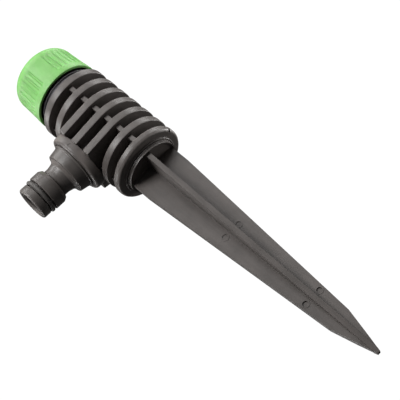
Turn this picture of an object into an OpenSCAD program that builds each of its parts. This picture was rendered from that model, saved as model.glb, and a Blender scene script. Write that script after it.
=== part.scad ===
// Spike sprinkler with a turning pattern dial.
// A ribbed round body stands on a cross-section ground spike; a hose
// connector leaves its side and a green dial on top picks one of eight jets.
// Millimetres. +Z runs up the body's axis, +X points along the hose connector.
// The origin is on the axis at the underside of the spike's round plate,
// which is where the soil surface comes to.

/* [Body] */
// radius of the round fins
fin_r = 17.2; // [16.5:0.1:21]
// how far the fins stand out from the open core space
fin_depth = 6.7; // [5.5:0.1:7.2]
// height from one fin to the next
fin_pitch = 7.7; // [7.2:0.1:9.5]
// height of one fin
fin_height = 3.3; // [2.6:0.1:4.0]
// number of fins, the bottom one being the base plate
fin_count = 7; // [7:1:8]
// width of the four upright ribs that join the fins
rib_width = 2.1; // [1.9:0.1:3.0]
// how far the upright ribs stay behind the fins' edge
rib_setback = 1.8; // [0.5:0.1:2.5]
// height of the base plate's underside above the origin
base_rise = 2.1; // [1.8:0.1:3.0]
// rounding of the base plate's lower edge
base_round = 1.3; // [0.6:0.1:1.6]
// height of the two thin rings around the neck
neck_ring_h = 0.5; // [0.3:0.1:0.8]

/* [Hose connector] */
// radius of the connector's barrel, the quick-coupling size
barrel_r = 8.5; // [8.3:0.05:8.7]
// distance from the body's axis to the connector's open end
nipple_reach = 46.5; // [44:0.5:56]
// radius of the round boss that the connector screws into
saddle_r = 13.9; // [12.8:0.1:14.6]
// distance from the axis to the boss's front face
saddle_x = 21.4; // [20.8:0.1:23]
// radius of the water way
way_r = 5.6; // [4.2:0.1:5.8]
// height of the connector above the middle of the fourth fin
inlet_rise = 0.6; // [0:0.1:1.2]

/* [Ground spike] */
// length of the spike below the origin
spike_length = 129.2; // [105:0.1:160]
// half width of the wings below the plate
wing_half = 11.6; // [9.5:0.1:12.2]
// half width of the wings where the point begins
point_half = 5.4; // [4:0.1:6.5]
// length of the pointed end
point_length = 20.7; // [15:0.1:30]
// thickness of the wings
wing_t = 2.4; // [2:0.1:3]
// thickness of the upright rib across the wings
keel_t = 2.2; // [1.8:0.1:3]
// half width of the upright rib below the plate
keel_half = 11.3; // [9.2:0.1:12.2]
// radius of the spike's round plate
plate_r = 12.9; // [12.6:0.1:13.4]
// radius of the round ejector marks
mark_r = 1.3; // [1:0.1:1.8]

/* [Dial] */
// height of the dial
dial_height = 21.0; // [20.6:0.1:24]
// how much the dial narrows from rim to shoulder
dial_taper = 0.8; // [0.2:0.1:1.2]
// wall thickness of the dial
dial_wall = 1.4; // [1.1:0.1:1.6]
// gap between the top fin and the dial's rim
dial_gap = 4.4; // [4.2:0.1:5.5]
// number of groups of grip grooves
groove_groups = 4; // [2:1:4]
// grooves in each group
grooves_per_group = 7; // [3:1:7]
// angle from one groove to the next
groove_step = 9.25; // [7:0.05:9.5]
// direction of the smooth panel between two groups
panel_turn = 83; // [0:1:90]
// depth of a grip groove
groove_depth = 0.6; // [0.3:0.05:0.8]
// number of jet patterns
pattern_count = 8; // [8:1:8]

/* [Hidden] */
$fn = 96;
eps = 0.1;
fit_gap = 0.05;
loose_gap = 0.3;

// heights of the body
fin_top_1 = base_rise + fin_height;
body_top = fin_top_1 + (fin_count - 1) * fin_pitch;
plate_seat_z = base_rise + 1.4;
inlet_z = base_rise + fin_height / 2 + 3 * fin_pitch + inlet_rise;
cage_r = fin_r - fin_depth;
rib_r = fin_r - rib_setback;

// dark core tube inside the fins
core_r = cage_r - loose_gap;
core_wall = 1.4;
core_bore_r = core_r - core_wall;
core_floor_z = inlet_z - 12;
core_floor_t = 2;
port_r = 7.05;
port_wall = 1.4;
tail_r = port_r - fit_gap;
tail_end_x = 5;
thread_r = 8.95;

// dial and head
rim_z = body_top + dial_gap;
dial_r = fin_r - 0.8;
shoulder_r = dial_r - dial_taper;
shoulder_round = 6.8;
dial_top = rim_z + dial_height;
shoulder_z = dial_top - shoulder_round;
dial_bore_r = dial_r - dial_wall;
neck_r = dial_bore_r - 0.8;
neck_ring_r = neck_r + 0.3;
head_top = rim_z + 4;
deck_z = head_top + 4;
deck_t = 2;
spindle_r = 4.0;
spindle_top = deck_z + 4.1;
hub_bore_r = spindle_r + fit_gap;
hub_r = 5.8;
well_r = 6.0;
well_wall = 1.0;
chamber_r = 10.9;
chamber_wall = 1.3;
chamber_top = dial_top - 4;
rib_t = 1.0;
gasket_t = 0.8;
plate_top = dial_top - 0.35;
nozzle_r = 11.9;
deck_r = dial_bore_r - dial_taper - 0.15;

// outlet port and detent in the head
outlet_x = 9.2;
outlet_r = 1.7;
seal_r = 3.1;
seal_z = head_top - 1.8;
pocket_z = head_top - 4.8;
cavity_top = head_top - 6;
detent_x = 11.2;
ball_r = 1.5;
ball_gap = 0.05;
ball_z = deck_z - ball_gap - ball_r;
ball_bore_r = ball_r + fit_gap;
dimple_depth = 0.65;
dimple_r = ball_r + 0.1;
detent_spring_z = head_top - 3;
screw_pos_r = (cage_r + neck_r) / 2;
head_screw_r = 0.65;

// connector stations along +X
tip_x = nipple_reach;
ring_x = tip_x - 5.4;
ring_groove_w = 3.0;
barrel_front_x = ring_x - ring_groove_w / 2;
barrel_back_x = tip_x - 12.6;
neck_x = barrel_back_x - 0.4;
flare_x = saddle_x + 5.6;
ring_minor = 0.95;
ring_floor_r = barrel_r - 2 * ring_minor;

// spike: post and key that lock its plate in the base, and where the wings start
post_r = 4.5;
post_top = fin_top_1 + 5;
key_x = 10.2;
key_l = 1.6;
key_w = 3;
wing_top_z = 0.6;
wing_straight_z = -10;

green = [0.55, 0.80, 0.45];
grey = [0.40, 0.39, 0.37];
dark = [0.08, 0.08, 0.09];
rubber = [0.12, 0.12, 0.12];
steel = [0.70, 0.70, 0.72];
white = [0.85, 0.85, 0.82];

// ---------- helpers ----------

// a round ring between two radii and two heights
module tube(r_out, r_in, z0, z1) {
    difference() {
        translate([0, 0, z0]) cylinder(r = r_out, h = z1 - z0);
        translate([0, 0, z0 - eps]) cylinder(r = r_in, h = z1 - z0 + 2 * eps);
    }
}

// a round bar between two heights
module post(r, z0, z1) {
    translate([0, 0, z0]) cylinder(r = r, h = z1 - z0);
}

// turns a profile drawn as [radius, station] about the connector's axis
module along_x() {
    translate([0, 0, inlet_z])
        rotate([0, 90, 0])
            rotate_extrude()
                children();
}

// a round bar along the connector's axis
module bar_x(r, x0, x1) {
    translate([x0, 0, inlet_z]) rotate([0, 90, 0]) cylinder(r = r, h = x1 - x0);
}

// a rubber ring round the upright axis
module o_ring(mid_r, minor, z) {
    translate([0, 0, z])
        rotate_extrude()
            translate([mid_r, 0]) circle(r = minor);
}

// a coil spring standing on a height, drawn as level turns joined by short steps
module coil(mean_r, wire_r, z0, z1, turns) {
    rise = (z1 - z0 - 2 * wire_r) / (turns - 1);
    for (k = [0 : turns - 1])
        o_ring(mean_r, wire_r, z0 + wire_r + k * rise);
    for (k = [0 : turns - 2])
        rotate([0, 0, k * 120])
            translate([mean_r, 0, 0])
                post(wire_r * 0.8, z0 + wire_r + k * rise, z0 + wire_r + (k + 1) * rise);
}

// a pan-head screw with a cross recess, its head resting on a height
module screw(head_r, head_h, shank_r, seat_z, shank_l) {
    cross_w = head_r * 0.3;
    difference() {
        union() {
            post(head_r, seat_z, seat_z + head_h);
            post(shank_r, seat_z - shank_l, seat_z + eps);
        }
        for (a = [0, 90])
            translate([0, 0, seat_z + head_h])
                rotate([0, 0, a])
                    cube([head_r * 1.2, cross_w, head_h], center = true);
    }
}

// ---------- body ----------

// one fin with softened edges; the boss side runs out straight to the boss
module fin(z, boss_side) {
    soft = 0.25;
    tangent = 80;
    tx = fin_r * cos(tangent);
    ty = fin_r * sin(tangent);
    run = saddle_x - 3.9 - tx;
    translate([0, 0, z])
        rotate_extrude()
            polygon([[cage_r, 0], [fin_r - soft, 0], [fin_r, soft],
                     [fin_r, fin_height - soft], [fin_r - soft, fin_height],
                     [cage_r, fin_height]]);
    if (boss_side)
        translate([0, 0, z])
            linear_extrude(height = fin_height)
                difference() {
                    polygon([[0, -ty], [tx, -ty], [tx + run, -ty + run * 0.176],
                             [tx + run, ty - run * 0.176], [tx, ty], [0, ty]]);
                    circle(r = cage_r);
                }
}

// the base plate: full disc, rounded lower edge, seat for the spike's plate
module base_plate() {
    lip_w = 0.55;
    lip_drop = 0.75;
    seat_r = plate_r + 0.1;
    translate([0, 0, base_rise])
        difference() {
            rotate_extrude()
                union() {
                    square([fin_r - base_round, fin_height]);
                    translate([0, base_round])
                        square([fin_r, fin_height - base_round]);
                    translate([fin_r - base_round, base_round]) circle(r = base_round);
                }
            translate([0, 0, -eps])
                cylinder(r = seat_r, h = plate_seat_z - base_rise + eps);
            cylinder(r = post_r + 0.1, h = fin_height + eps);
            translate([key_x, 0, fin_height / 2])
                cube([key_l + 0.2, key_w + 0.2, 2 * fin_height], center = true);
            // drain notch in the lower edge
            rotate([0, 0, 150])
                translate([fin_r, 0, 0])
                    cube([2.4, 1.4, 2.4], center = true);
        }
    tube(seat_r + lip_w, seat_r, base_rise - lip_drop, base_rise + eps);
}

// upright rib that ties the fins together
module upright_rib(turn) {
    rotate([0, 0, turn])
        translate([cage_r, -rib_width / 2, fin_top_1 - eps])
            cube([rib_r - cage_r, rib_width, body_top - fin_top_1]);
}

// the round boss that the connector screws into
module saddle() {
    edge = 1.6;
    back_x = saddle_x - 4.4;
    neck_tube_r = 10.4;
    along_x()
        union() {
            translate([0, back_x]) square([saddle_r - edge, saddle_x - back_x]);
            translate([0, back_x]) square([saddle_r, saddle_x - back_x - edge]);
            translate([saddle_r - edge, saddle_x - edge]) circle(r = edge);
            translate([0, cage_r - 1]) square([neck_tube_r, back_x - cage_r + 1 + eps]);
        }
}

module finned_body() {
    color(grey)
        difference() {
            union() {
                base_plate();
                for (k = [1 : fin_count - 1])
                    fin(base_rise + k * fin_pitch, k >= 2 && k <= 4);
                for (a = [0, 90, 180, 270]) upright_rib(a);
                saddle();
            }
            post(cage_r, fin_top_1, body_top + eps);
            bar_x(thread_r + fit_gap, tail_end_x, saddle_x + eps);
            for (s = [-1, 1])
                translate([0, s * screw_pos_r, body_top - 9])
                    cylinder(r = head_screw_r + fit_gap, h = 9 + eps);
        }
}

// ---------- ground spike ----------

// outline of the wings, half width against height
module wing_outline() {
    shoulder = -spike_length + point_length;
    tip_half = 0.7;
    polygon([[-wing_half, wing_top_z], [-wing_half, wing_straight_z],
             [-point_half, shoulder], [-tip_half, -spike_length],
             [tip_half, -spike_length], [point_half, shoulder],
             [wing_half, wing_straight_z], [wing_half, wing_top_z]]);
}

// outline of the rib across the wings, narrowing all the way to the point
module keel_outline() {
    end_half = 0.9;
    polygon([[-keel_half, wing_top_z], [-end_half, -spike_length],
             [end_half, -spike_length], [keel_half, wing_top_z]]);
}

// the four wings inside a point that also narrows in thickness
module wings() {
    thin_z = -spike_length + point_length * 0.4;
    tip_half = 0.6;
    intersection() {
        rotate([90, 0, 90])
            linear_extrude(height = keel_t, center = true) keel_outline();
        rotate([90, 0, 0])
            linear_extrude(height = 2 * keel_half + 1, center = true) wing_outline();
    }
    intersection() {
        rotate([90, 0, 0])
            linear_extrude(height = wing_t, center = true) wing_outline();
        rotate([90, 0, 90])
            linear_extrude(height = 2 * wing_half + 1, center = true)
                polygon([[-wing_t / 2 - 1, wing_top_z + 1], [-wing_t / 2 - 1, thin_z],
                         [-wing_t / 2, thin_z], [-tip_half, -spike_length],
                         [tip_half, -spike_length], [wing_t / 2, thin_z],
                         [wing_t / 2 + 1, thin_z], [wing_t / 2 + 1, wing_top_z + 1]]);
    }
}

// places for the marks left by ejector pins, on both wing faces
module ejector_marks(share) {
    for (x = [-3.95, 3.95], s = [0, 180])
        rotate([0, 0, s])
            translate([x, wing_t / 2, -spike_length * share])
                rotate([-90, 0, 0])
                    children();
}

module ground_spike() {
    lip_r = plate_r - 0.2;
    lip_w = 0.5;
    lip_drop = 0.5;
    plate_z = 0.4;
    marks_at = [0.375, 0.728];
    color(grey)
        difference() {
            union() {
                post(plate_r, plate_z, plate_seat_z);
                tube(lip_r, lip_r - lip_w, -lip_drop, plate_z + eps);
                post(post_r, plate_seat_z - eps, post_top);
                translate([key_x - key_l / 2, -key_w / 2, plate_seat_z - eps])
                    cube([key_l, key_w, fin_top_1 - plate_seat_z - 0.1 + eps]);
                wings();
                for (share = marks_at)
                    ejector_marks(share) post(mark_r + 0.4, -0.4, 0.15);
            }
            ejector_marks(marks_at[0]) post(mark_r, -0.15, 1);
            ejector_marks(marks_at[1]) post(mark_r, -0.4, 1);
        }
}

// push-on star washer that locks the spike's post under the core
module spike_retainer() {
    ring_r = min(8.2, core_bore_r - 0.3);
    slot_count = 6;
    color(steel)
        difference() {
            tube(ring_r, post_r + fit_gap, fin_top_1, fin_top_1 + 0.7);
            for (k = [0 : slot_count - 1])
                rotate([0, 0, k * 360 / slot_count])
                    translate([post_r, -0.5, fin_top_1 - eps])
                        cube([1.6, 1, 1]);
        }
}

// ---------- water way ----------

module water_core() {
    color(dark)
        difference() {
            union() {
                tube(core_r, core_bore_r, fin_top_1, body_top);
                post(core_r - 0.5, core_floor_z, core_floor_z + core_floor_t);
                intersection() {
                    bar_x(port_r + port_wall, 4, core_r);
                    post(core_r - 0.2, fin_top_1, body_top);
                }
            }
            bar_x(port_r, 3, core_r + eps);
        }
}

module core_o_ring() {
    color(rubber) o_ring(core_bore_r - 0.95, 0.9, body_top - 3.4);
}

module hose_nipple() {
    flange_r = saddle_r - 2.5;
    collar_r = 10.7;
    collar_end_r = 9.9;
    throat_r = 6.6;
    tip_r = 7.9;
    color(grey)
        difference() {
            along_x()
                polygon([
                    [way_r, tail_end_x], [tail_r - 0.4, tail_end_x],
                    [tail_r, tail_end_x + 0.4],
                    [tail_r, 7.1], [tail_r - 0.85, 7.1],
                    [tail_r - 0.85, 8.9], [tail_r, 8.9],
                    [tail_r, cage_r + 1.2], [thread_r, cage_r + 1.2],
                    [thread_r, saddle_x], [flange_r, saddle_x],
                    [flange_r, saddle_x + 0.7], [collar_r + 0.1, saddle_x + 0.9],
                    [collar_r, saddle_x + 1.3],
                    [collar_end_r, flare_x - 0.8], [collar_end_r - 0.3, flare_x - 0.3],
                    [collar_end_r - 0.8, flare_x],
                    [8.6, flare_x + 0.1], [8.0, flare_x + 0.4], [7.4, flare_x + 1.0],
                    [7.0, flare_x + 1.7], [6.75, flare_x + 2.6],
                    [throat_r, neck_x - 2.2], [throat_r, neck_x],
                    [7.3, barrel_back_x], [8.0, barrel_back_x + 0.6],
                    [8.35, barrel_back_x + 1.1], [barrel_r, barrel_back_x + 1.6],
                    [barrel_r, barrel_front_x - 0.4], [barrel_r - 0.4, barrel_front_x],
                    [ring_floor_r, barrel_front_x],
                    [ring_floor_r, barrel_front_x + ring_groove_w],
                    [tip_r, barrel_front_x + ring_groove_w],
                    [tip_r, tip_x - 1.6], [tip_r - 0.25, tip_x - 0.8],
                    [tip_r - 0.9, tip_x], [way_r + 0.7, tip_x],
                    [way_r, tip_x - 0.9]]);
        }
}

module nipple_o_ring() {
    color(rubber)
        translate([ring_x, 0, inlet_z])
            rotate([0, 90, 0])
                o_ring(ring_floor_r + ring_minor, ring_minor, 0);
}

module inlet_o_ring() {
    minor = 0.4;
    color(rubber)
        translate([8.0, 0, inlet_z])
            rotate([0, 90, 0])
                o_ring(tail_r - 0.85 + minor, minor, 0);
}

// ---------- head ----------

module head_base() {
    plug_r = core_bore_r - fit_gap;
    groove_z = body_top - 3.4;
    boss_r = 2.4;
    color(dark)
        difference() {
            union() {
                post(neck_r, body_top, head_top);
                for (z = [1.8, 3.2])
                    post(neck_ring_r, body_top + z, body_top + z + neck_ring_h);
                post(plug_r, body_top - 5.6, body_top + eps);
                post(spindle_r, head_top - eps, spindle_top);
                translate([-detent_x, 0, 0])
                    post(boss_r, head_top - eps, deck_z - 0.4);
            }
            // groove for the ring that seals the plug in the core
            tube(plug_r + 1, plug_r - 1.8, groove_z - 1.1, groove_z + 1.1);
            // groove for the ring round the spindle
            tube(spindle_r + 1, spindle_r - 1, deck_z - 1.6, deck_z - 0.4);
            post(core_bore_r - 3, body_top - 6, body_top + 0.6);
            post(min(10.2, neck_r - 2), body_top + 0.5, cavity_top);
            translate([outlet_x, 0, 0]) post(outlet_r, cavity_top - eps, pocket_z + eps);
            translate([outlet_x, 0, 0]) post(seal_r + fit_gap, pocket_z, head_top + eps);
            translate([-detent_x, 0, 0]) post(ball_bore_r, detent_spring_z, deck_z);
            post(1.6, head_top - 4, spindle_top + eps);
            for (s = [-1, 1])
                translate([0, s * screw_pos_r, body_top - eps])
                    cylinder(r = 1.1, h = head_top - body_top + 1);
        }
}

module head_screws() {
    color(steel)
        for (s = [-1, 1])
            translate([0, s * screw_pos_r, 0])
                screw(1.5, 1.2, head_screw_r, head_top, head_top - body_top + 8);
}

module bearing_washer() {
    color(white) tube(hub_r - 0.1, spindle_r + 0.2, head_top, head_top + 0.8);
}

module spindle_o_ring() {
    minor = 0.5;
    color(rubber) o_ring(spindle_r + 0.03 - minor, minor, deck_z - 1.0);
}

// rubber cup that feeds the port above it
module outlet_seal() {
    lip_z = deck_z - 1;
    color(rubber)
        translate([outlet_x, 0, 0])
            difference() {
                union() {
                    post(seal_r, seal_z, lip_z - 1.2);
                    post(seal_r - 0.5, seal_z, lip_z);
                    post(seal_r - 0.2, lip_z - eps, deck_z);
                }
                post(outlet_r, seal_z - eps, deck_z + eps);
                translate([0, 0, deck_z - 0.4]) cylinder(r = outlet_r + 0.4, h = 1);
            }
}

module seal_spring() {
    color(steel)
        translate([outlet_x, 0, 0]) coil(2.5, 0.35, pocket_z, seal_z, 3);
}

module detent_ball() {
    color(steel) translate([-detent_x, 0, ball_z]) sphere(r = ball_r);
}

module detent_spring() {
    color(steel)
        translate([-detent_x, 0, 0])
            coil(1.1, 0.25, detent_spring_z, ball_z - ball_r, 4);
}

module dial_screw() {
    color(steel) screw(3.4, 2.2, 1.55, spindle_top + 0.5, 11);
}

module screw_washer() {
    color(steel) tube(5.6, 1.7, spindle_top, spindle_top + 0.5);
}

// ---------- dial ----------

// turning inner part: deck with a port for each chamber, walls between them
module rotor() {
    port_top = deck_z + deck_t;
    color(dark)
        difference() {
            union() {
                post(hub_r, head_top + 0.8, deck_z + eps);
                post(deck_r, deck_z, port_top);
                post(well_r + well_wall, deck_z, chamber_top);
                tube(chamber_r + chamber_wall, chamber_r, port_top - eps, chamber_top);
                for (k = [0 : pattern_count - 1])
                    rotate([0, 0, (k + 0.5) * 360 / pattern_count])
                        translate([well_r + 0.5, -rib_t / 2, port_top - eps])
                            cube([chamber_r - well_r, rib_t,
                                  chamber_top - port_top + eps]);
            }
            post(hub_bore_r, head_top, chamber_top);
            post(well_r, spindle_top - 0.1, chamber_top + eps);
            for (k = [0 : pattern_count - 1])
                rotate([0, 0, k * 360 / pattern_count]) {
                    translate([outlet_x, 0, 0])
                        post(outlet_r, deck_z - eps, port_top + eps);
                    translate([detent_x, 0, deck_z + dimple_depth - dimple_r])
                        sphere(r = dimple_r);
                }
        }
}

// outline of the dial, from the rim up over the round shoulder
module dial_profile(r_rim, r_shoulder, round_r, z_rim, z_shoulder, z_top) {
    polygon([[0, z_rim], [r_rim, z_rim], [r_shoulder, z_shoulder], [0, z_shoulder]]);
    translate([0, z_shoulder]) square([r_shoulder - round_r, z_top - z_shoulder]);
    intersection() {
        translate([r_shoulder - round_r, z_shoulder]) circle(r = round_r);
        translate([0, z_shoulder - eps]) square([r_shoulder + 1, z_top - z_shoulder + 1]);
    }
}

// one upright grip groove, leaning with the dial's taper
module grip_groove() {
    cut_r = 0.85;
    lean = atan(dial_taper / (shoulder_z - rim_z));
    low = 3.0;
    high = shoulder_z - rim_z + 0.2;
    translate([dial_r + cut_r - groove_depth, 0, rim_z])
        rotate([0, -lean, 0])
            translate([0, 0, low]) cylinder(r = cut_r, h = high - low);
}

module dial_shell() {
    group_turn = 360 / groove_groups;
    span = (grooves_per_group - 1) * groove_step;
    first = panel_turn + (group_turn - span) / 2;
    ledge_z = deck_z + deck_t;
    color(green)
        difference() {
            rotate_extrude()
                difference() {
                    dial_profile(dial_r, shoulder_r, shoulder_round,
                                 rim_z, shoulder_z, dial_top);
                    translate([0, -eps])
                        dial_profile(dial_bore_r, shoulder_r - dial_wall,
                                     shoulder_round - dial_wall,
                                     rim_z, shoulder_z, dial_top - dial_wall + eps);
                    translate([0, dial_top - 8]) square([nozzle_r + 0.1, 9]);
                }
            for (g = [0 : groove_groups - 1], n = [0 : grooves_per_group - 1])
                rotate([0, 0, first + g * group_turn + n * groove_step])
                    grip_groove();
        }
    // ledge that the deck is pressed up against
    color(green)
        tube(deck_r + 0.6, chamber_r + chamber_wall + 0.2, ledge_z, ledge_z + 1);
}

// thin rubber sheet with a window over each chamber
module nozzle_gasket() {
    in_r = well_r + well_wall;
    color(rubber)
        difference() {
            tube(chamber_r + 0.9, well_r, chamber_top, chamber_top + gasket_t);
            difference() {
                tube(chamber_r, in_r, chamber_top - eps, chamber_top + gasket_t + eps);
                for (k = [0 : pattern_count - 1])
                    rotate([0, 0, (k + 0.5) * 360 / pattern_count])
                        translate([0, -rib_t / 2, chamber_top - 1])
                            cube([nozzle_r, rib_t, 3]);
            }
        }
}

// one straight through hole of the jet plate
module jet(radius, turn, r) {
    rotate([0, 0, turn]) translate([radius, 0, chamber_top]) cylinder(r = r, h = 6);
}

// a slot of the jet plate, lying at an angle to its radius
module slot(radius, turn, length, width, skew) {
    rotate([0, 0, turn])
        translate([radius, 0, chamber_top + 3])
            rotate([0, 0, skew])
                cube([length, width, 6], center = true);
}

// the eight different jets, one group for each chamber
module jets() {
    step = 360 / pattern_count;
    mid = (chamber_r + well_r + well_wall) / 2;
    jet(mid, 0, 1.3);
    for (i = [-1 : 1], j = [-1 : 1])
        jet(mid + j * 1.1, step + i * 7.5, 0.35);
    slot(mid, 2 * step, 0.8, 4.6, 0);
    for (i = [0 : 5])
        jet(mid + 1.2 * cos(60 * i), 3 * step + 7.6 * sin(60 * i), 0.35);
    for (i = [-1, 1]) slot(mid, 4 * step + i * 6, 2.6, 0.7, 0);
    for (i = [-2 : 2]) jet(mid + 0.3, 5 * step + i * 6, 0.4);
    for (a = [45, 135]) slot(mid, 6 * step, 3, 0.7, a);
    for (i = [-1 : 1]) jet(mid, 7 * step + i * 8, 0.6);
}

// domed plate that closes the chambers
module nozzle_plate() {
    z0 = chamber_top + gasket_t;
    dome_r = 72;
    color(dark)
        difference() {
            rotate_extrude()
                intersection() {
                    translate([0, z0]) square([nozzle_r, plate_top + 1 - z0]);
                    translate([0, plate_top - dome_r]) circle(r = dome_r, $fn = 900);
                }
            post(5.0, z0 - eps, plate_top + 1);
            jets();
        }
}

module screw_cover() {
    color(green)
        union() {
            post(4.95, chamber_top + 0.2, plate_top - 0.1);
            post(5.6, plate_top - 0.17, plate_top + 0.3);
        }
}

finned_body();
ground_spike();
spike_retainer();
water_core();
core_o_ring();
hose_nipple();
nipple_o_ring();
inlet_o_ring();
head_base();
head_screws();
bearing_washer();
spindle_o_ring();
outlet_seal();
seal_spring();
detent_ball();
detent_spring();
dial_screw();
screw_washer();
rotor();
dial_shell();
nozzle_gasket();
nozzle_plate();
screw_cover();
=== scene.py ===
import math

import bmesh
import bpy
from mathutils import Matrix, Vector


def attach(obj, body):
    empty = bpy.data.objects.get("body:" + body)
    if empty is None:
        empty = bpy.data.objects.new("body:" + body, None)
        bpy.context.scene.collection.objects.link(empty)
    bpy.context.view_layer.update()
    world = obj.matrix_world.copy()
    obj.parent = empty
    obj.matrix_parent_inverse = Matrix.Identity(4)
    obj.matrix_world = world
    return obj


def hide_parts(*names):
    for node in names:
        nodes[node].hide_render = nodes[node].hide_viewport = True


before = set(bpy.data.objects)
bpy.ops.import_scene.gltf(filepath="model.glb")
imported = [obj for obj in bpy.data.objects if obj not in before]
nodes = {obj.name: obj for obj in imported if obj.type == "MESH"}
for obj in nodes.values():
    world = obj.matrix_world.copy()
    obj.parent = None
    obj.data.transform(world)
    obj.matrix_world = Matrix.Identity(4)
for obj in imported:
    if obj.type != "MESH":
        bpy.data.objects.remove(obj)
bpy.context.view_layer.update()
mm = 0.001
print("frame loaded,", len(nodes), "nodes")


# sRGB hex to the linear colour that the shaders take
def toLinear(hexColour):
    channels = [int(hexColour[i:i + 2], 16) / 255 for i in (1, 3, 5)]
    return tuple(c / 12.92 if c <= 0.04045 else ((c + 0.055) / 1.055) ** 2.4
                 for c in channels) + (1.0,)


# adds one node, sets its properties and fixed inputs, and links the rest
def addNode(tree, kind, inputs=None, **settings):
    node = tree.nodes.new(kind)
    for key, value in settings.items():
        setattr(node, key, value)
    for key, value in (inputs or {}).items():
        if isinstance(value, bpy.types.NodeSocket):
            tree.links.new(value, node.inputs[key])
        else:
            node.inputs[key].default_value = value
    return node


# one maths step, returning its output
def calc(tree, operation, *values):
    return addNode(tree, "ShaderNodeMath", dict(enumerate(values)), operation=operation).outputs[0]


# one colour over another by a factor; each is a colour or a socket
def mixColour(tree, factor, under, over):
    mix = addNode(tree, "ShaderNodeMix", {"Factor": factor, 6: under, 7: over},
                  data_type="RGBA")
    return mix.outputs[2]


# the distance of a point from the upright axis
def axisDistance(tree, x, y):
    return calc(tree, "SQRT", calc(tree, "ADD", calc(tree, "MULTIPLY", x, x),
                                   calc(tree, "MULTIPLY", y, y)))


# what every finish shares: ranges taken out of the noises, relief depth in mm, and
# how far light of each colour bleeds under a skin that lets it in
finish = {"contrast": (0.34, 0.66), "mixStreak": 0.4, "corner": (0.55, 0.95),
          "grainRange": (0.3, 0.7), "smoother": 0.06, "rougher": 0.08, "relief": 0.05,
          "bleed": (0.35, 1.0, 0.3)}


# slow colour drift, streaks, fine grain, a painted highlight where an edge is rounded over,
# and a paler tone outside a radius; drift, streak and grain are sizes in mm, and
# a tool's real grain of about 0.05 mm is drawn coarser so that it shows
def mouldedPlastic(name, look):
    material = bpy.data.materials.new(name)
    material.use_nodes = True
    tree = material.node_tree
    shader = tree.nodes["Principled BSDF"]
    coords = addNode(tree, "ShaderNodeTexCoord")
    spot = coords.outputs["Object"]
    drift = addNode(tree, "ShaderNodeTexNoise", {
        "Vector": spot, "Scale": 1 / (look["drift"] * mm), "Detail": 3.0, "Roughness": 0.55})
    along = addNode(tree, "ShaderNodeMapping", {"Vector": spot, "Scale": look["flow"]})
    streak = addNode(tree, "ShaderNodeTexNoise", {
        "Vector": along.outputs["Vector"], "Scale": 1 / (look["streak"] * mm), "Detail": 2.0})
    grain = addNode(tree, "ShaderNodeTexNoise", {
        "Vector": spot, "Scale": 1 / (look["grain"] * mm), "Detail": 2.0, "Roughness": 0.7})
    both = addNode(tree, "ShaderNodeMix", {
        "Factor": finish["mixStreak"], "A": drift.outputs["Fac"], "B": streak.outputs["Fac"]})
    least, most = finish["contrast"]
    spread = addNode(tree, "ShaderNodeMapRange", {
        "Value": both.outputs["Result"], "From Min": least, "From Max": most})
    shade = mixColour(tree, spread.outputs["Result"], toLinear(look["low"]),
                      toLinear(look["high"]))
    # painted highlight: a paler colour laid on where the surface turns over a rounded edge,
    # standing in for the light such edges catch
    if look.get("glintStrength"):
        split = addNode(tree, "ShaderNodeSeparateXYZ", {0: coords.outputs["Normal"]})
        up = calc(tree, "ABSOLUTE", split.outputs[look["glintAxis"]])
        side = calc(tree, "SQRT", calc(tree, "SUBTRACT", 1.0, calc(tree, "MULTIPLY", up, up)))
        corner = calc(tree, "MULTIPLY", calc(tree, "MULTIPLY", up, side), 2.0)
        least, most = finish["corner"]
        glint = addNode(tree, "ShaderNodeMapRange", {
            "Value": corner, "From Min": least, "From Max": most, "To Max": look["glintStrength"]})
        shade = mixColour(tree, glint.outputs["Result"], shade, toLinear(look["glint"]))
    if look.get("ringR"):
        split = addNode(tree, "ShaderNodeSeparateXYZ", {0: spot})
        outward = calc(tree, "GREATER_THAN", axisDistance(tree, *split.outputs[:2]),
                       look["ringR"] * mm)
        shade = mixColour(tree, outward, shade, toLinear(look["ring"]))
    tree.links.new(shade, shader.inputs["Base Color"])
    least, most = finish["grainRange"]
    rough = addNode(tree, "ShaderNodeMapRange", {
        "Value": grain.outputs["Fac"], "From Min": least, "From Max": most,
        "To Min": look["rough"] - finish["smoother"],
        "To Max": look["rough"] + finish["rougher"]})
    tree.links.new(rough.outputs["Result"], shader.inputs["Roughness"])
    relief = addNode(tree, "ShaderNodeBump", {
        "Height": grain.outputs["Fac"], "Strength": look["bump"],
        "Distance": finish["relief"] * mm})
    tree.links.new(relief.outputs["Normal"], shader.inputs["Normal"])
    shader.inputs["IOR"].default_value = look["ior"]
    shader.inputs["Metallic"].default_value = look.get("metal", 0.0)
    shader.inputs["Specular IOR Level"].default_value = look.get("gloss", 0.5)
    if look.get("depth"):
        shader.inputs["Subsurface Weight"].default_value = look["glow"]
        shader.inputs["Subsurface Radius"].default_value = finish["bleed"]
        shader.inputs["Subsurface Scale"].default_value = look["depth"] * mm
    return material


# Grey polypropylene, injection moulded in a spark-eroded tool: dull and slightly
# warm, with a dry grain, and a painted highlight on its rounded edges.
bodyLook = {"low": "#524d4a", "high": "#625c59", "glint": "#857e7a", "glintStrength": 0.7, "glintAxis": 2,
            "drift": 9, "flow": (1, 1, 1), "streak": 2.2, "grain": 0.35, "rough": 0.42,
            "bump": 0.2, "ior": 1.49}
greyBody = mouldedPlastic("greyPolypropyleneMoulded", bodyLook)
# the same resin in the stake, where it flowed the length of the tool and left streaks
greyStake = mouldedPlastic("greyPolypropyleneLongFlow", dict(
    bodyLook, low="#4c4744", high="#5c5653", glintStrength=0.0, flow=(1, 1, 0.1), streak=1.6))
# the connector: the same resin from a smoother tool, a little shinier, with a weaker painted
# highlight on its rounded edges
greyHose = mouldedPlastic("greyPolypropyleneSmoothTool", dict(
    bodyLook, low="#504c49", high="#5f5a57", glintStrength=0.4, glintAxis=0, rough=0.38, bump=0.12))
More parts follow.
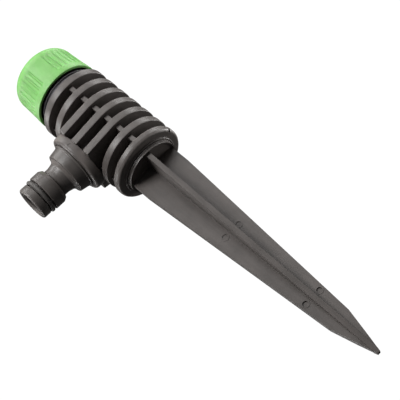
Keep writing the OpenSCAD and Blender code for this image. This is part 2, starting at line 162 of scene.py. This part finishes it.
# Black polypropylene, moulded, near-black: in the gaps between the fins this black is painted
# shade, and its rounded edges get a painted highlight.
coreLook = {
    "low": "#070707", "high": "#0e0d0e", "glint": "#5f595b", "glintStrength": 0.5, "glintAxis": 2,
    "drift": 6, "flow": (1, 1, 1), "streak": 2, "grain": 0.3, "rough": 0.5, "bump": 0.15,
    "ior": 1.49, "gloss": 0.25}
blackCore = mouldedPlastic("blackPolypropyleneMoulded", coreLook)
# the same in the neck, with its two thin rings coloured paler grey outside a radius
blackNeck = mouldedPlastic("blackPolypropylenePaleRings", dict(
    coreLook, ringR=14.35, ring="#59545a"))
# Green ABS, moulded with a fine satin texture: clean, bright and a little chalky.
greenDial = mouldedPlastic("greenAbsSatinMoulded", {
    "low": "#76b75e", "high": "#86c370", "drift": 7, "flow": (1, 1, 0.3), "streak": 1.5,
    "grain": 0.3, "rough": 0.5, "bump": 0.1, "ior": 1.53, "glow": 0.3, "depth": 1.5})
# Nitrile rubber, moulded: soft dull grey-black with hardly any highlight.
nitrileRing = mouldedPlastic("nitrileRubberMoulded", {
    "low": "#4b4846", "high": "#5a5754", "drift": 4, "flow": (1, 1, 1), "streak": 1,
    "grain": 0.2, "rough": 0.62, "bump": 0.15, "ior": 1.52})
# Stainless spring steel, drawn: bright, with faint lines along the wire.
drawnSteel = mouldedPlastic("stainlessSteelDrawn", {
    "low": "#9b9ca0", "high": "#c3c4c6", "drift": 2, "flow": (1, 1, 0.2), "streak": 0.3,
    "grain": 0.1, "rough": 0.28, "bump": 0.08, "ior": 1.5, "metal": 1.0})
# White acetal, turned: waxy and smooth, with fine tool rings.
turnedAcetal = mouldedPlastic("whiteAcetalTurned", {
    "low": "#d3d1ca", "high": "#e2e0da", "drift": 3, "flow": (1, 1, 4), "streak": 0.4,
    "grain": 0.15, "rough": 0.38, "bump": 0.06, "ior": 1.48})
print("materials made")

# CAD nodes that keep their mesh and only get a material
keptNodes = {
    greyStake: ["ground_spike"],
    blackCore: ["water_core", "rotor"],
    nitrileRing: ["core_o_ring", "nipple_o_ring", "inlet_o_ring", "spindle_o_ring",
                  "outlet_seal", "nozzle_gasket"],
    drawnSteel: ["spike_retainer", "head_screws", "seal_spring", "detent_ball",
                 "detent_spring", "dial_screw", "screw_washer"],
    turnedAcetal: ["bearing_washer"],
}
for material, names in keptNodes.items():
    for name in names:
        nodes[name].data.materials.clear()
        nodes[name].data.materials.append(material)


def newObject(name, mesh):
    obj = bpy.data.objects.new(name, mesh)
    bpy.context.scene.collection.objects.link(obj)
    return obj


def newTree(name, inputs):
    tree = bpy.data.node_groups.new(name, "GeometryNodeTree")
    tree.interface.new_socket("Geometry", in_out="OUTPUT", socket_type="NodeSocketGeometry")
    for label, kind in inputs.items():
        tree.interface.new_socket(label, in_out="INPUT", socket_type="NodeSocket" + kind)
    return tree, tree.nodes.new("NodeGroupInput").outputs


# ends a tree in real geometry with its material on it
def closeTree(tree, geometry, material):
    real = addNode(tree, "GeometryNodeRealizeInstances", {"Geometry": geometry})
    smooth = addNode(tree, "GeometryNodeSetShadeSmooth", {"Geometry": real.outputs[0]})
    merged = addNode(tree, "GeometryNodeMergeByDistance", {
        "Geometry": smooth.outputs[0], "Distance": 0.001 * mm})
    painted = addNode(tree, "GeometryNodeSetMaterial", {
        "Geometry": merged.outputs[0], "Material": material})
    end = tree.nodes.new("NodeGroupOutput")
    tree.links.new(painted.outputs[0], end.inputs[0])


# runs a tree on a mesh and keeps the result as a plain mesh with outward faces
def grow(name, tree, values, mesh=None):
    obj = newObject(name, mesh or bpy.data.meshes.new(name))
    modifier = obj.modifiers.new(name, "NODES")
    modifier.node_group = tree
    for socket in tree.interface.items_tree:
        if socket.in_out == "INPUT" and socket.name in values:
            modifier[socket.identifier] = values[socket.name]
    settle(obj)
    return obj


# the evaluated shape as a plain mesh, its modifiers gone; edges turning by more
# degrees than crease are shaded sharp
def settle(obj, crease=30):
    graph = bpy.context.evaluated_depsgraph_get()
    mesh = bpy.data.meshes.new_from_object(obj.evaluated_get(graph))
    obj.modifiers.clear()
    obj.data = mesh
    work = bmesh.new()
    work.from_mesh(mesh)
    bmesh.ops.remove_doubles(work, verts=work.verts, dist=1e-6)
    bmesh.ops.recalc_face_normals(work, faces=work.faces)
    work.to_mesh(mesh)
    work.free()
    for polygon in mesh.polygons:
        polygon.use_smooth = True
    mesh.set_sharp_from_angle(angle=math.radians(crease))


def join(name, *objects):
    with bpy.context.temp_override(active_object=objects[0], selected_editable_objects=objects):
        bpy.ops.object.join()
    objects[0].name = name
    return objects[0]


# rides a finished piece on its body in place of a CAD node
def place(obj, body, slot, *replaced):
    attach(obj, body)
    if replaced:
        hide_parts(*replaced)
    print(obj.name, len(obj.data.polygons), "faces")


# how a CAD mesh is rounded over: angles in degrees, merging distance in metres
soften = {"merge": 2e-6, "flat": 0.6, "sharp": 35, "crease": 20, "steps": 2}


# a merged copy of a CAD mesh with its sharp edges rounded over by a width in mm
def rounded(node, name, material, width):
    mesh = nodes[node].data.copy()
    mesh.materials.clear()
    mesh.materials.append(material)
    work = bmesh.new()
    work.from_mesh(mesh)
    bmesh.ops.remove_doubles(work, verts=work.verts, dist=soften["merge"])
    bmesh.ops.dissolve_limit(work, angle_limit=math.radians(soften["flat"]), verts=work.verts,
                             edges=work.edges, delimit={"NORMAL"})
    weight = work.edges.layers.float.new("bevel_weight_edge")
    for edge in work.edges:
        edge[weight] = float(edge.calc_face_angle(0.0) > math.radians(soften["sharp"]))
    work.to_mesh(mesh)
    work.free()
    obj = newObject(name, mesh)
    bevel = obj.modifiers.new("softEdges", "BEVEL")
    bevel.width = width * mm
    bevel.segments = soften["steps"]
    bevel.limit_method = "WEIGHT"
    bevel.use_clamp_overlap = False
    settle(obj, soften["crease"])  # keeps the shading of the broad faces flat
    return obj


# the radius at which every outline is drawn before it is spun
latheR = 10
cornerSteps = 4  # points in each rounded corner of an outline


# spins a closed outline of radius and height round the upright axis, rounding
# each corner by its own amount
def lathe(tree, given, roundSteps):
    outline = addNode(tree, "GeometryNodeMeshToCurve", {"Mesh": given["Outline"]})
    size = addNode(tree, "GeometryNodeInputNamedAttribute", {"Name": "corner"},
                   data_type="FLOAT")
    eased = addNode(tree, "GeometryNodeFilletCurve", {
        "Curve": outline.outputs[0], "Radius": size.outputs[0], "Limit Radius": True,
        "Count": roundSteps}, mode="POLY")
    path = addNode(tree, "GeometryNodeCurvePrimitiveCircle", {
        "Resolution": given["Segments"], "Radius": latheR * mm})
    level = addNode(tree, "GeometryNodeSetCurveNormal", {"Curve": path.outputs[0]}, mode="Z_UP")
    return addNode(tree, "GeometryNodeCurveToMesh", {
        "Curve": level.outputs[0], "Profile Curve": eased.outputs[0]}).outputs[0]


spunTree, given = newTree("spunOutline", {
    "Outline": "Geometry", "Segments": "Int", "Lay Over": "Rotation", "Move": "Vector",
    "Material": "Material"})
laid = addNode(spunTree, "GeometryNodeTransform", {
    "Geometry": lathe(spunTree, given, cornerSteps), "Rotation": given["Lay Over"],
    "Translation": given["Move"]})
closeTree(spunTree, laid.outputs[0], given["Material"])


# the outline mesh for a spun piece, from (radius, height, corner rounding) in mm
def outlineMesh(name, points):
    mesh = bpy.data.meshes.new(name)
    mesh.from_pydata([((r - latheR) * mm, -z * mm, 0) for r, z, soft in points],
                     [(i, (i + 1) % len(points)) for i in range(len(points))], [])
    corner = mesh.attributes.new("corner", "FLOAT", "POINT")
    for i, point in enumerate(points):
        corner.data[i].value = point[2] * mm
    return mesh


# a spun piece in mm, standing upright or laid over along +X at a height
def spin(name, points, material, segments=160, alongX=False, height=0.0):
    values = {"Segments": segments, "Material": material, "Move": (0, 0, height * mm),
              "Lay Over": (0, math.radians(90) if alongX else 0, 0)}
    return grow(name, spunTree, values, outlineMesh(name, points))


body = {"finR": 17.2, "cageR": 10.5, "finHeight": 3.3, "pitch": 7.7, "firstZ": 9.8,
        "finCount": 6, "segments": 216, "edge": 0.32, "cageEdge": 0.05, "ribEdge": 0.25,
        "bossFrom": 1, "bossTo": 3, "tangent": 80, "bossX": 17.5, "ribSunk": 0.1,
        "ribOuter": 15.4, "ribWidth": 2.1, "ribLow": 5.3, "ribHigh": 51.5, "inletZ": 27.45}


# a stack of round fins; some of them run out straight to the inlet boss
def finStack():
    tree, given = newTree("finStack", {
        "Outline": "Geometry", "Segments": "Int", "Fins": "Int", "Pitch": "Float",
        "First Height": "Float", "Fin Radius": "Float", "Cage Radius": "Float",
        "Boss From": "Int", "Boss To": "Int", "Tangent": "Float", "Boss Face": "Float",
        "Material": "Material"})
    start = addNode(tree, "ShaderNodeCombineXYZ", {2: given["First Height"]})
    step = addNode(tree, "ShaderNodeCombineXYZ", {2: given["Pitch"]})
    stops = addNode(tree, "GeometryNodeMeshLine", {
        "Count": given["Fins"], "Start Location": start.outputs[0], "Offset": step.outputs[0]})
    stack = addNode(tree, "GeometryNodeInstanceOnPoints", {
        "Points": stops.outputs[0], "Instance": lathe(tree, given, cornerSteps)})
    real = addNode(tree, "GeometryNodeRealizeInstances", {"Geometry": stack.outputs[0]})
    # which fin a point is on, and whether that fin reaches the boss
    position = addNode(tree, "GeometryNodeInputPosition")
    split = addNode(tree, "ShaderNodeSeparateXYZ", {0: position.outputs[0]})
    x, y, z = split.outputs
    rise = calc(tree, "DIVIDE", calc(tree, "SUBTRACT", z, given["First Height"]),
                given["Pitch"])
    hair = 0.01  # lifts a fin's own underside to its number
    finNumber = calc(tree, "FLOOR", calc(tree, "ADD", rise, hair))
    fromOk = calc(tree, "GREATER_THAN", finNumber, calc(tree, "SUBTRACT", given["Boss From"], 0.5))
    toOk = calc(tree, "LESS_THAN", finNumber, calc(tree, "ADD", given["Boss To"], 0.5))
    reaches = calc(tree, "MULTIPLY", fromOk, toOk)
    # how far the outline stands out at this angle
    angle = calc(tree, "ABSOLUTE", calc(tree, "ARCTAN2", y, x))
    inside = calc(tree, "MAXIMUM", calc(tree, "SUBTRACT", given["Tangent"], angle), 0.0)
    least = 0.1  # keeps both divisions finite
    straight = calc(tree, "DIVIDE", given["Fin Radius"],
                    calc(tree, "MAXIMUM", calc(tree, "COSINE", inside), least))
    face = calc(tree, "DIVIDE", given["Boss Face"],
                calc(tree, "MAXIMUM", calc(tree, "COSINE", angle), least))
    reach = calc(tree, "MAXIMUM", calc(tree, "MINIMUM", straight, face), given["Fin Radius"])
    gain = calc(tree, "MULTIPLY", calc(tree, "SUBTRACT", reach, given["Fin Radius"]), reaches)
    radius = axisDistance(tree, x, y)
    middle = calc(tree, "MULTIPLY", calc(tree, "ADD", given["Fin Radius"], given["Cage Radius"]),
                  0.5)
    outer = calc(tree, "GREATER_THAN", radius, middle)
    factor = calc(tree, "ADD", 1.0, calc(tree, "DIVIDE", calc(tree, "MULTIPLY", gain, outer),
                                         radius))
    moved = addNode(tree, "ShaderNodeCombineXYZ", {
        0: calc(tree, "MULTIPLY", x, factor), 1: calc(tree, "MULTIPLY", y, factor), 2: z})
    shaped = addNode(tree, "GeometryNodeSetPosition", {
        "Geometry": real.outputs[0], "Position": moved.outputs[0]})
    closeTree(tree, shaped.outputs[0], given["Material"])
    mesh = outlineMesh("finOutline", [
        (body["cageR"], 0, body["cageEdge"]), (body["finR"], 0, body["edge"]),
        (body["finR"], body["finHeight"], body["edge"]),
        (body["cageR"], body["finHeight"], body["cageEdge"])])
    return grow("finStack", tree, {
        "Segments": body["segments"], "Fins": body["finCount"], "Pitch": body["pitch"] * mm,
        "First Height": body["firstZ"] * mm, "Fin Radius": body["finR"] * mm,
        "Cage Radius": body["cageR"] * mm, "Boss From": body["bossFrom"],
        "Boss To": body["bossTo"], "Tangent": math.radians(body["tangent"]),
        "Boss Face": body["bossX"] * mm, "Material": greyBody}, mesh)


# four upright ribs standing round the cage
def uprightRibs():
    tree, given = newTree("uprightRibs", {
        "Inner": "Float", "Outer": "Float", "Width": "Float", "Low": "Float", "High": "Float",
        "Edge": "Float", "Material": "Material"})
    shape = addNode(tree, "GeometryNodeCurvePrimitiveQuadrilateral", {
        "Width": calc(tree, "SUBTRACT", given["Outer"], given["Inner"]),
        "Height": given["Width"]}, mode="RECTANGLE")
    eased = addNode(tree, "GeometryNodeFilletCurve", {
        "Curve": shape.outputs[0], "Radius": given["Edge"], "Limit Radius": True, "Count": 3},
        mode="POLY")
    foot = addNode(tree, "ShaderNodeCombineXYZ", {2: given["Low"]})
    head = addNode(tree, "ShaderNodeCombineXYZ", {2: given["High"]})
    line = addNode(tree, "GeometryNodeCurvePrimitiveLine", {
        "Start": foot.outputs[0], "End": head.outputs[0]})
    bar = addNode(tree, "GeometryNodeCurveToMesh", {
        "Curve": line.outputs[0], "Profile Curve": eased.outputs[0], "Fill Caps": True})
    middle = calc(tree, "MULTIPLY", calc(tree, "ADD", given["Inner"], given["Outer"]), 0.5)
    ring = addNode(tree, "GeometryNodeMeshCircle", {"Vertices": 4, "Radius": middle})
    position = addNode(tree, "GeometryNodeInputPosition")
    facing = addNode(tree, "FunctionNodeAlignRotationToVector", {
        "Vector": position.outputs[0]}, axis="X", pivot_axis="Z")
    bars = addNode(tree, "GeometryNodeInstanceOnPoints", {
        "Points": ring.outputs[0], "Instance": bar.outputs[0], "Rotation": facing.outputs[0]})
    closeTree(tree, bars.outputs[0], given["Material"])
    return grow("uprightRibs", tree, {
        "Inner": (body["cageR"] - body["ribSunk"]) * mm, "Outer": body["ribOuter"] * mm,
        "Width": body["ribWidth"] * mm, "Low": body["ribLow"] * mm,
        "High": body["ribHigh"] * mm, "Edge": body["ribEdge"] * mm,
        "Material": greyBody})


# a closed mesh to cut with, made by one of bmesh's own shapes
def cutterMesh(shape, **sizes):
    work = bmesh.new()
    shape(work, **sizes)
    mesh = bpy.data.meshes.new("cutter")
    work.to_mesh(mesh)
    work.free()
    return mesh


# takes a small shape, moved to a spot and turned about Z, out of a piece
def cutAway(obj, mesh, degrees, spot):
    cutter = newObject("cutter", mesh)
    shift = Matrix.Translation([v * mm for v in spot])
    mesh.transform(Matrix.Rotation(math.radians(degrees), 4, "Z") @ shift)
    boolean = obj.modifiers.new("cut", "BOOLEAN")
    boolean.object = cutter
    boolean.operation = "DIFFERENCE"
    settle(obj)
    bpy.data.objects.remove(cutter)


plate = {"boreR": 4.6, "seatR": 13.0, "seatZ": 3.5, "lipR": 13.55, "lipZ": 1.35, "underZ": 2.1,
         "topZ": 5.4, "lowRound": 1.3, "lipEdge": 0.12, "lipOutEdge": 0.2, "lipRoot": 0.1,
         "notchTurn": 150, "notch": (2.4, 1.4, 2.4)}
boss = {"boreR": 9.05, "neckR": 10.4, "startX": 9.6, "backX": 17.0, "faceX": 21.4, "r": 13.9,
        "edge": 1.5, "smallEdge": 0.1, "backEdge": 0.3, "ringEdge": 0.12, "ringR": 11.75,
        "ringDeep": 0.5, "gateR": 0.9, "gateX": 19.4, "gateDeep": 0.2, "gateSegments": 40}


# the full disc at the body's foot, with the thin ring that hangs below it
def basePlate():
    p = plate
    disc = spin("basePlate", [
        (p["boreR"], p["seatZ"], 0), (p["seatR"], p["seatZ"], 0),
        (p["seatR"], p["lipZ"], p["lipEdge"]), (p["lipR"], p["lipZ"], p["lipOutEdge"]),
        (p["lipR"], p["underZ"], p["lipRoot"]),
        (body["finR"], p["underZ"], p["lowRound"]), (body["finR"], p["topZ"], body["edge"]),
        (p["boreR"], p["topZ"], 0)], greyBody, body["segments"])
    size = Matrix.Diagonal([v * mm for v in p["notch"]]).to_4x4()
    box = cutterMesh(bmesh.ops.create_cube, size=1.0, matrix=size)
    cutAway(disc, box, p["notchTurn"], (body["finR"], 0, p["underZ"]))
    return disc


# the round boss, with a thin gap round the connector's flange and a gate mark
def inletBoss():
    b = boss
    turned = spin("inletBoss", [
        (b["boreR"], b["startX"], 0), (b["neckR"], b["startX"], b["smallEdge"]),
        (b["neckR"], b["backX"], 0), (b["r"], b["backX"], b["backEdge"]),
        (b["r"], b["faceX"], b["edge"]), (b["ringR"], b["faceX"], b["ringEdge"]),
        (b["ringR"], b["faceX"] - b["ringDeep"], 0),
        (b["boreR"], b["faceX"] - b["ringDeep"], 0)], greyBody, alongX=True,
        height=body["inletZ"])
    mark = cutterMesh(bmesh.ops.create_cone, cap_ends=True, segments=b["gateSegments"],
                      radius1=b["gateR"] * mm, radius2=b["gateR"] * mm,
                      depth=2 * b["gateDeep"] * mm,
                      matrix=Matrix.Rotation(math.radians(90), 4, "X"))
    cutAway(turned, mark, 0, (b["gateX"], b["r"], body["inletZ"]))
    return turned


finnedBody = join("finnedBody", finStack(), uprightRibs(), basePlate(), inletBoss())
place(finnedBody, "base", "grey_plastic", "finned_body")

# distances along the connector from the body's axis, and its radii
hose = {"tailX": 5.0, "tailR": 6.99, "threadX": 11.7, "threadR": 8.94, "faceX": 21.4,
        "flangeR": 11.4, "flangeT": 0.7, "collarR": 10.7, "collarEndR": 9.9, "flareX": 27.0,
        "throatR": 6.6, "neckX": 33.5, "barrelX": 33.9, "barrelR": 8.5, "grooveX": 39.6,
        "grooveW": 3.0, "grooveDeep": 1.9, "tipR": 7.9, "tipX": 46.5, "wayR": 5.6,
        "collarIn": 1.5, "collarStep": 0.15, "collarLean": 0.05, "flareR": (8.6, 7.2),
        "flareIn": (0.05, 1.4, 4.0), "underDeep": 0.3, "underIn": (0.45, 0.4),
        "barrelBackR": 7.6, "barrelIn": (0.05, 1.2), "mouthR": 0.7, "mouthDeep": 0.9}


# from the tail in the core, by flange, collar and throat, out to the tip and its mouth
def hoseConnector():
    h = hose
    way = [(h["wayR"], h["tailX"], 0), (h["tailR"], h["tailX"], 0.3)]
    tail = [(h["tailR"], h["threadX"], 0), (h["threadR"], h["threadX"], 0),
            (h["threadR"], h["faceX"], 0)]
    flangeX = h["faceX"] + h["flangeT"]
    flange = [(h["flangeR"], h["faceX"], 0.1), (h["flangeR"], flangeX, 0.15),
              (h["collarR"] + h["collarLean"], flangeX + h["collarStep"], 0.1),
              (h["collarR"] - h["collarLean"], h["faceX"] + h["collarIn"], 0.1)]
    edgeIn, slopeIn, throatIn = h["flareIn"]
    shoulderR, slopeR = h["flareR"]
    flare = [(h["collarEndR"], h["flareX"], 0.4), (shoulderR, h["flareX"] + edgeIn, 0.15),
             (slopeR, h["flareX"] + slopeIn, 1.6), (h["throatR"], h["flareX"] + throatIn, 2.0)]
    underR = h["throatR"] - h["underDeep"]
    wide, narrow = h["underIn"]
    undercut = [(h["throatR"], h["neckX"] - wide, 0), (underR, h["neckX"] - narrow, 0),
                (underR, h["neckX"], 0)]
    backIn, slopeIn = h["barrelIn"]
    barrel = [(h["barrelBackR"], h["neckX"] + backIn, 0.12),
              (h["barrelR"], h["barrelX"] + slopeIn, 0.9), (h["barrelR"], h["grooveX"], 0.3)]
    floorR = h["barrelR"] - h["grooveDeep"]
    grooveEndX = h["grooveX"] + h["grooveW"]
    groove = [(floorR, h["grooveX"], 0.1), (floorR, grooveEndX, 0.1),
              (h["tipR"], grooveEndX, 0.2)]
    mouth = [(h["tipR"], h["tipX"], 0.9), (h["wayR"] + h["mouthR"], h["tipX"], 0.2),
             (h["wayR"], h["tipX"] - h["mouthDeep"], 0.2)]
    return spin("hoseConnector", way + tail + flange + flare + undercut + barrel + groove
                + mouth, greyHose, alongX=True, height=body["inletZ"])


place(hoseConnector(), "base", "grey_plastic", "hose_nipple")

place(rounded("head_base", "headNeck", blackNeck, 0.1), "base", "dark_plastic", "head_base")
place(rounded("nozzle_plate", "jetPlate", blackCore, 0.1), "dial", "dark_plastic",
      "nozzle_plate")
place(rounded("screw_cover", "coverPlug", greenDial, 0.15), "dial", "green_plastic",
      "screw_cover")

dial = {"rimR": 16.4, "shoulderR": 15.6, "rimZ": 56.0, "shoulderZ": 70.2,
        "round": 6.8, "wall": 1.4, "mouthR": 12.0, "ledgeZ": 66.0, "ledgeT": 1.0,
        "ledgeR": 12.4, "ledgeOutR": 14.65, "groups": 4, "perGroup": 7, "step": 9.25,
        "first": 100.25, "grooveR": 0.65, "depth": 0.75, "wallIn": 0.5, "grooveLow": 59.1,
        "grooveHigh": 71.3, "lowFade": 0.7, "highFade": 3.0,
        "segments": 576, "cornerSteps": 3, "roundSteps": 14, "innerStops": (9, 6, 3, 0),
        "mouthDeep": 1.5, "wallStops": (57.5, 58.6, 58.9, 59.2, 59.5, 59.9, 61, 63, 65, 67,
                                        69, 69.5, 69.9, 70.2)}


# the outline of the dial's wall, outside from the rim up and back down inside
def dialOutline():
    d = dial
    lean = (d["rimR"] - d["shoulderR"]) / (d["shoulderZ"] - d["rimZ"])
    outside = [(d["rimR"] - d["wall"] + 0.1, d["rimZ"], 0.15), (d["rimR"], d["rimZ"], 0.3)]
    for z in d["wallStops"]:
        outside.append((d["rimR"] - lean * (z - d["rimZ"]), z, 0))
    quarter = math.radians(90) / d["roundSteps"]
    for i in range(1, d["roundSteps"]):
        a = i * quarter
        outside.append((d["shoulderR"] - d["round"] + d["round"] * math.cos(a),
                        d["shoulderZ"] + d["round"] * math.sin(a), 0))
    outside = [p for p in outside if p[0] > d["mouthR"] + 0.3]
    topZ = d["shoulderZ"] + math.sqrt(d["round"] ** 2
                                      - (d["mouthR"] - d["shoulderR"] + d["round"]) ** 2)
    inner = d["round"] - d["wall"]
    inside = [(d["mouthR"], topZ, 0.15), (d["mouthR"], topZ - d["mouthDeep"], 0)]
    for i in d["innerStops"]:
        a = i * quarter
        r = d["shoulderR"] - d["round"] + inner * math.cos(a)
        if r > d["mouthR"]:
            inside.append((r, d["shoulderZ"] + inner * math.sin(a), 0))
    inside.append((d["rimR"] - d["wall"], d["rimZ"] + 1, 0))
    return outside + inside


# the dial's wall with groups of upright grip grooves and a smooth panel between
def dialShell():
    tree, given = newTree("grippedDial", {
        "Outline": "Geometry", "Segments": "Int", "Groups": "Int", "Grooves": "Int",
        "Step": "Float", "First": "Float", "Cutter": "Float", "Depth": "Float",
        "Low": "Float", "High": "Float", "Wall Inside": "Float", "Material": "Material"})
    position = addNode(tree, "GeometryNodeInputPosition")
    split = addNode(tree, "ShaderNodeSeparateXYZ", {0: position.outputs[0]})
    x, y, z = split.outputs
    radius = axisDistance(tree, x, y)
    # sideways distance to the nearest groove of this point's group
    groupTurn = calc(tree, "DIVIDE", math.tau, given["Groups"])
    turn = calc(tree, "SUBTRACT", calc(tree, "ARCTAN2", y, x), given["First"])
    half = calc(tree, "MULTIPLY", given["Step"], 0.5)
    within = calc(tree, "SUBTRACT", calc(tree, "FLOORED_MODULO",
                                         calc(tree, "ADD", turn, half), groupTurn), half)
    number = calc(tree, "ROUND", calc(tree, "DIVIDE", within, given["Step"]))
    last = calc(tree, "SUBTRACT", given["Grooves"], 1)
    number = calc(tree, "MAXIMUM", calc(tree, "MINIMUM", number, last), 0.0)
    off = calc(tree, "MULTIPLY", calc(tree, "SUBTRACT", within,
                                      calc(tree, "MULTIPLY", number, given["Step"])), radius)
    # depth of the round cutter at that distance
    under = calc(tree, "MAXIMUM", calc(tree, "SUBTRACT",
                                       calc(tree, "MULTIPLY", given["Cutter"], given["Cutter"]),
                                       calc(tree, "MULTIPLY", off, off)), 0.0)
    cut = calc(tree, "SUBTRACT", calc(tree, "ADD", calc(tree, "SQRT", under), given["Depth"]),
               given["Cutter"])
    cut = calc(tree, "MAXIMUM", cut, 0.0)
    lowEnd = addNode(tree, "ShaderNodeMapRange", {
        "Value": z, "From Min": given["Low"],
        "From Max": calc(tree, "ADD", given["Low"], dial["lowFade"] * mm)},
        interpolation_type="SMOOTHSTEP")
    highEnd = addNode(tree, "ShaderNodeMapRange", {
        "Value": z, "From Min": given["High"],
        "From Max": calc(tree, "SUBTRACT", given["High"], dial["highFade"] * mm)},
        interpolation_type="SMOOTHSTEP")
    ends = calc(tree, "MULTIPLY", lowEnd.outputs["Result"], highEnd.outputs["Result"])
    outer = calc(tree, "GREATER_THAN", radius, given["Wall Inside"])
    cut = calc(tree, "MULTIPLY", calc(tree, "MULTIPLY", cut, ends), outer)
    factor = calc(tree, "SUBTRACT", 1.0, calc(tree, "DIVIDE", cut, radius))
    moved = addNode(tree, "ShaderNodeCombineXYZ", {
        0: calc(tree, "MULTIPLY", x, factor), 1: calc(tree, "MULTIPLY", y, factor), 2: z})
    shaped = addNode(tree, "GeometryNodeSetPosition", {
        "Geometry": lathe(tree, given, dial["cornerSteps"]), "Position": moved.outputs[0]})
    closeTree(tree, shaped.outputs[0], given["Material"])
    return grow("patternDial", tree, {
        "Segments": dial["segments"], "Groups": dial["groups"], "Grooves": dial["perGroup"],
        "Step": math.radians(dial["step"]), "First": math.radians(dial["first"]),
        "Cutter": dial["grooveR"] * mm, "Depth": dial["depth"] * mm,
        "Low": dial["grooveLow"] * mm, "High": dial["grooveHigh"] * mm,
        "Wall Inside": (dial["shoulderR"] - dial["wallIn"]) * mm, "Material": greenDial},
        outlineMesh("dialOutline", dialOutline()))


# the ledge inside the dial that the deck is pressed up against
def deckLedge():
    low, high = dial["ledgeZ"], dial["ledgeZ"] + dial["ledgeT"]
    inner, outer = dial["ledgeR"], dial["ledgeOutR"]
    return spin("deckLedge", [(inner, low, 0), (outer, low, 0), (outer, high, 0),
                              (inner, high, 0)], greenDial)


place(join("patternDial", dialShell(), deckLedge()), "dial", "green_plastic", "dial_shell")

# millimetres and degrees, and the camera's near and far limits in metres
stage = {"floorZ": -129.4, "floorHalf": 8000, "paleFrom": 250, "paleTo": 700,
         "cameraPlace": (133.92, 521.51, -317.45), "cameraTurn": (130.35, 42.907, -164.547),
         "sensor": 36, "lens": 133.28, "near": 0.01, "far": 20, "aim": (0, 0, -20),
         "lampDistance": 1.0, "roomGlow": 0.12, "roomSeen": 1.05}


# pale floor that is seen from above only
def makeFloor():
    half = stage["floorHalf"] * mm
    z = stage["floorZ"] * mm
    mesh = bpy.data.meshes.new("floor")
    mesh.from_pydata([(-half, -half, z), (half, -half, z), (half, half, z), (-half, half, z)],
                     [], [(0, 1, 2, 3)])
    floor = newObject("floor", mesh)
    material = bpy.data.materials.new("palePaperFloor")
    material.use_nodes = True
    tree = material.node_tree
    paper = tree.nodes["Principled BSDF"]
    paper.inputs["Base Color"].default_value = toLinear("#e9e8e6")
    paper.inputs["Roughness"].default_value = 0.8
    # what the object sees of the floor is darker, as if it stood over a deep table
    dull = addNode(tree, "ShaderNodeBsdfDiffuse", {"Color": toLinear("#3c3c3c")})
    seen = addNode(tree, "ShaderNodeLightPath").outputs["Is Camera Ray"]
    # farther out the paper runs into the pale room
    spot = addNode(tree, "ShaderNodeTexCoord").outputs["Object"]
    split = addNode(tree, "ShaderNodeSeparateXYZ", {0: spot})
    far = addNode(tree, "ShaderNodeMapRange", {
        "Value": axisDistance(tree, *split.outputs[:2]), "From Min": stage["paleFrom"] * mm,
        "From Max": stage["paleTo"] * mm}, interpolation_type="SMOOTHSTEP")
    pale = addNode(tree, "ShaderNodeEmission", {"Color": toLinear("#fbfbfa")})
    sheet = addNode(tree, "ShaderNodeMixShader", {
        0: far.outputs["Result"], 1: paper.outputs[0], 2: pale.outputs[0]})
    top = addNode(tree, "ShaderNodeMixShader", {
        0: seen, 1: dull.outputs[0], 2: sheet.outputs[0]})
    back = addNode(tree, "ShaderNodeNewGeometry").outputs["Backfacing"]
    clear = addNode(tree, "ShaderNodeBsdfTransparent")
    mix = addNode(tree, "ShaderNodeMixShader", {
        0: back, 1: top.outputs[0], 2: clear.outputs[0]})
    tree.links.new(mix.outputs[0], tree.nodes["Material Output"].inputs["Surface"])
    mesh.materials.append(material)
    floor.visible_shadow = False  # the low lamp shines up past it


def makeCamera():
    data = bpy.data.cameras.new("camera")
    data.sensor_width = stage["sensor"]
    data.lens = stage["lens"]
    data.clip_start = stage["near"]
    data.clip_end = stage["far"]
    camera = bpy.data.objects.new("camera", data)
    camera.location = [v * mm for v in stage["cameraPlace"]]
    camera.rotation_euler = [math.radians(v) for v in stage["cameraTurn"]]
    bpy.context.scene.collection.objects.link(camera)
    bpy.context.scene.camera = camera


# a square soft light that looks at the middle of the object
def softLight(name, azimuth, elevation, size, power):
    data = bpy.data.lights.new(name, "AREA")
    data.shape = "SQUARE"
    data.size = size
    data.energy = power
    light = bpy.data.objects.new(name, data)
    a, e = math.radians(azimuth), math.radians(elevation)
    back = Vector((math.cos(a) * math.cos(e), math.sin(a) * math.cos(e), math.sin(e)))
    light.location = Vector(stage["aim"]) * mm + back * stage["lampDistance"]
    light.rotation_euler = back.to_track_quat("Z", "Y").to_euler()
    bpy.context.scene.collection.objects.link(light)


# a white room that gives only a little light of its own
def makeWorld():
    world = bpy.data.worlds.new("paleStudio")
    bpy.context.scene.world = world
    world.use_nodes = True
    tree = world.node_tree
    tree.nodes["Background"].inputs["Color"].default_value = (1, 1, 1, 1)
    seen = addNode(tree, "ShaderNodeLightPath").outputs["Is Camera Ray"]
    strength = addNode(tree, "ShaderNodeMapRange", {
        "Value": seen, "To Min": stage["roomGlow"], "To Max": stage["roomSeen"]})
    tree.links.new(strength.outputs["Result"], tree.nodes["Background"].inputs["Strength"])


makeFloor()
makeCamera()
makeWorld()
# azimuth, elevation, size in metres and power of each lamp
lights = {"keyLight": (60, 29, 0.4, 8.0), "frontLight": (112, 30, 0.5, 2.3),
          "rightLight": (165, 22, 0.35, 3.4), "sideLight": (200, 0, 0.3, 6.0),
          "backLight": (180, 50, 0.4, 2.0), "leftLight": (-15, 30, 0.35, 4.6),
          "topLight": (75, 70, 0.4, 3.0), "edgeLight": (-50, 5, 0.3, 1.3),
          "lowLight": (195, -30, 0.4, 2.8)}
for name, (azimuth, elevation, size, power) in lights.items():
    softLight(name, azimuth, elevation, size, power)
bpy.context.scene.view_settings.view_transform = "Standard"
print("stage set")
